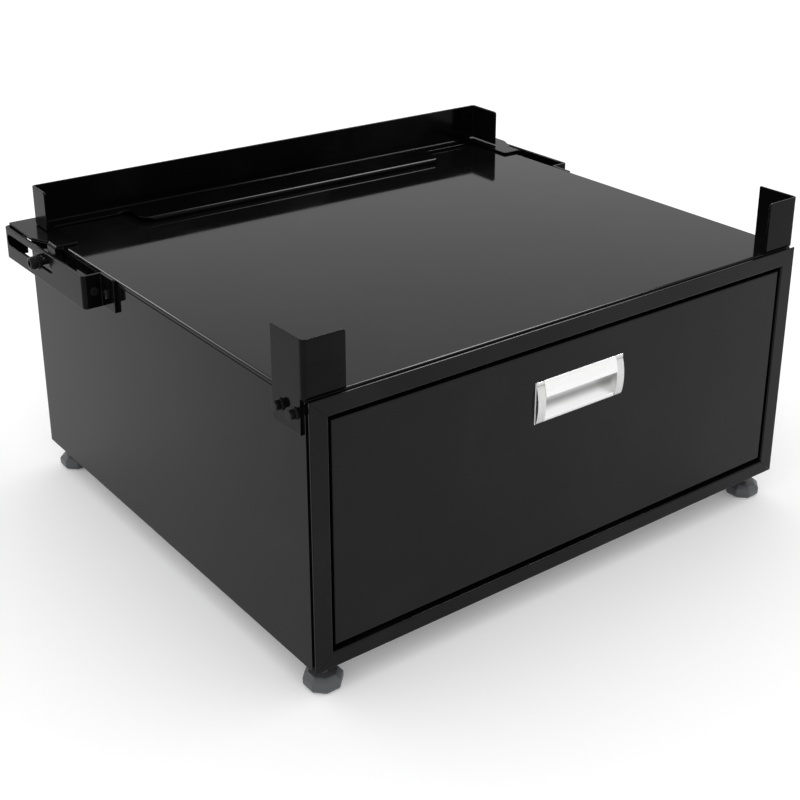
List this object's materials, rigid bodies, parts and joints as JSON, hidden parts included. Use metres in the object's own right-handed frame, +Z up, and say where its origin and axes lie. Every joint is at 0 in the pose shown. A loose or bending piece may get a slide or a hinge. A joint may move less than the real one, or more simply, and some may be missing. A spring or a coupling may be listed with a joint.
{
  "type": "washer pedestal drawer",
  "caption": "Low black cabinet that lifts a laundry machine, with a pull-out drawer, recessed metal handle, corner brackets, an adjustable rear stop on slotted arms and levelling feet.",
  "frame": {"origin": "on the floor, under the middle of the outer box", "axes": "+X to the right seen from the front, +Y from the front to the back, +Z up"},
  "size_m": [0.7676, 0.6414, 0.3905],
  "materials": {
    "gloss_black": "gloss paint",
    "frame_black": "satin paint",
    "satin_black": "satin paint",
    "handle_metal": "satin",
    "zinc_steel": "zinc plated",
    "dark_steel": "black oxide",
    "foot_grey": "matte",
    "nylon": "matte"
  },
  "bodies": {
    "cabinet": {"frame_top_rail": "frame_black", "frame_bottom_rail": "frame_black", "frame_stile_left": "frame_black", "frame_stile_right": "frame_black", "top_panel": "gloss_black", "side_panel_left": "gloss_black", "side_panel_right": "gloss_black", "back_panel": "satin_black", "base_pan": "satin_black", "back_screws": "zinc_steel", "top_rail_left": "satin_black", "top_rail_right": "satin_black", "top_rail_rear": "satin_black", "cross_member_front": "satin_black", "cross_member_rear": "satin_black", "rear_post_left": "satin_black", "rear_post_right": "satin_black", "base_rail_left": "satin_black", "base_rail_right": "satin_black", "foot_plates": "satin_black", "weld_nuts": "zinc_steel", "slide_bracket_left": "satin_black", "slide_bracket_right": "satin_black", "cabinet_slide_left": "zinc_steel", "cabinet_slide_right": "zinc_steel", "cabinet_slide_screws": "zinc_steel", "front_bracket_left": "gloss_black", "front_bracket_right": "gloss_black", "bracket_bolts": "dark_steel", "rear_arm_left": "satin_black", "rear_arm_right": "satin_black", "arm_bolts": "dark_steel", "arm_screws": "dark_steel", "foot_lock_nuts": "zinc_steel"},
    "drawer": {"drawer_front": "gloss_black", "drawer_liner": "satin_black", "drawer_side_left": "satin_black", "drawer_side_right": "satin_black", "drawer_back": "satin_black", "drawer_bottom": "satin_black", "handle_grip": "handle_metal", "handle_cap_left": "handle_metal", "handle_cap_right": "handle_metal", "handle_screws": "zinc_steel", "drawer_slide_left": "zinc_steel", "drawer_slide_right": "zinc_steel", "drawer_slide_screws": "zinc_steel"},
    "middle_slides_left": {"middle_slide_left": "zinc_steel", "slide_retainers_left": "nylon"},
    "middle_slides_right": {"middle_slide_right": "zinc_steel", "slide_retainers_right": "nylon"},
    "rear_stop": {"rear_stop": "satin_black", "clamp_bolts": "dark_steel", "clamp_spacers": "dark_steel", "clamp_nuts": "dark_steel"},
    "foot_front_left": {"foot_front_left": "foot_grey"},
    "foot_front_right": {"foot_front_right": "foot_grey"},
    "foot_rear_left": {"foot_rear_left": "foot_grey"},
    "foot_rear_right": {"foot_rear_right": "foot_grey"}
  },
  "joints": [
    {"name": "drawer_slide", "type": "slide", "parent": "cabinet", "child": "drawer", "axis": [0, -1, 0], "range_m": [0, 0.48]},
    {"name": "middle_slide_left", "type": "slide", "parent": "cabinet", "child": "middle_slides_left", "axis": [0, -1, 0], "range_m": [0, 0.24]},
    {"name": "middle_slide_right", "type": "slide", "parent": "cabinet", "child": "middle_slides_right", "axis": [0, -1, 0], "range_m": [0, 0.24]},
    {"name": "stop_slide", "type": "slide", "parent": "cabinet", "child": "rear_stop", "axis": [0, 1, 0], "range_m": [-0.006, 0.085]},
    {"name": "foot_front_left_height", "type": "slide", "parent": "cabinet", "child": "foot_front_left", "axis": [0, 0, -1], "range_m": [-0.006, 0.01]},
    {"name": "foot_front_right_height", "type": "slide", "parent": "cabinet", "child": "foot_front_right", "axis": [0, 0, -1], "range_m": [-0.006, 0.01]},
    {"name": "foot_rear_left_height", "type": "slide", "parent": "cabinet", "child": "foot_rear_left", "axis": [0, 0, -1], "range_m": [-0.006, 0.01]},
    {"name": "foot_rear_right_height", "type": "slide", "parent": "cabinet", "child": "foot_rear_right", "axis": [0, 0, -1], "range_m": [-0.006, 0.01]}
  ],
  "couplings": [
    {"joint": "middle_slide_left", "follows": "drawer_slide", "ratio": 0.5},
    {"joint": "middle_slide_right", "follows": "drawer_slide", "ratio": 0.5}
  ]
}
